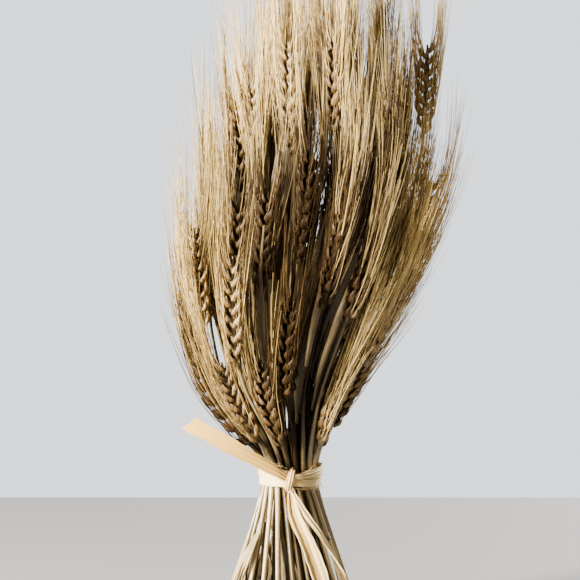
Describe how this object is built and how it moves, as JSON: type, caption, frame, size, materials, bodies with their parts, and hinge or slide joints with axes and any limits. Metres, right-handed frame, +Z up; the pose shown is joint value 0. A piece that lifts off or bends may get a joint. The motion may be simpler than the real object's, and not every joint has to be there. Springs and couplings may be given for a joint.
{
  "type": "bundle of dried wheat",
  "caption": "Standing sheaf of bearded dried wheat stalks, spreading above and below a knotted raffia tie with loose tails; it rests on its level-cut stem ends.",
  "frame": {"origin": "the middle stalk's level cut end, on the surface that the sheaf stands on", "axes": "+Z up along the sheaf, from the cut ends to the awns; -Y towards the knot, which is the front; +X to the right of the knot"},
  "size_m": [0.2086, 0.2082, 0.4814],
  "materials": {
    "straw": "matte",
    "raffia": "satin"
  },
  "bodies": {
    "root": {"stalk_01": "straw", "stalk_02": "straw", "stalk_03": "straw", "stalk_04": "straw", "stalk_05": "straw", "stalk_06": "straw", "stalk_07": "straw", "stalk_08": "straw", "stalk_09": "straw", "stalk_10": "straw", "stalk_11": "straw", "stalk_12": "straw", "stalk_13": "straw", "stalk_14": "straw", "stalk_15": "straw", "stalk_16": "straw", "stalk_17": "straw", "stalk_18": "straw", "stalk_19": "straw", "stalk_20": "straw", "stalk_21": "straw", "stalk_22": "straw", "stalk_23": "straw", "stalk_24": "straw", "stalk_25": "straw", "stalk_26": "straw", "stalk_27": "straw", "stalk_28": "straw", "stalk_29": "straw", "stalk_30": "straw", "stalk_31": "straw", "stalk_32": "straw", "stalk_33": "straw", "stalk_34": "straw", "stalk_35": "straw", "stalk_36": "straw", "stalk_37": "straw", "stalk_38": "straw", "stalk_39": "straw", "stalk_40": "straw", "stalk_41": "straw", "stalk_42": "straw", "stalk_43": "straw", "stalk_44": "straw", "stalk_45": "straw", "stalk_46": "straw", "stalk_47": "straw", "stalk_48": "straw", "stalk_49": "straw", "stalk_50": "straw", "stalk_51": "straw", "stalk_52": "straw", "stalk_53": "straw", "stalk_54": "straw", "stalk_55": "straw", "stalk_56": "straw", "stalk_57": "straw", "stalk_58": "straw", "raffia_tie": "raffia"}
  },
  "joints": []
}
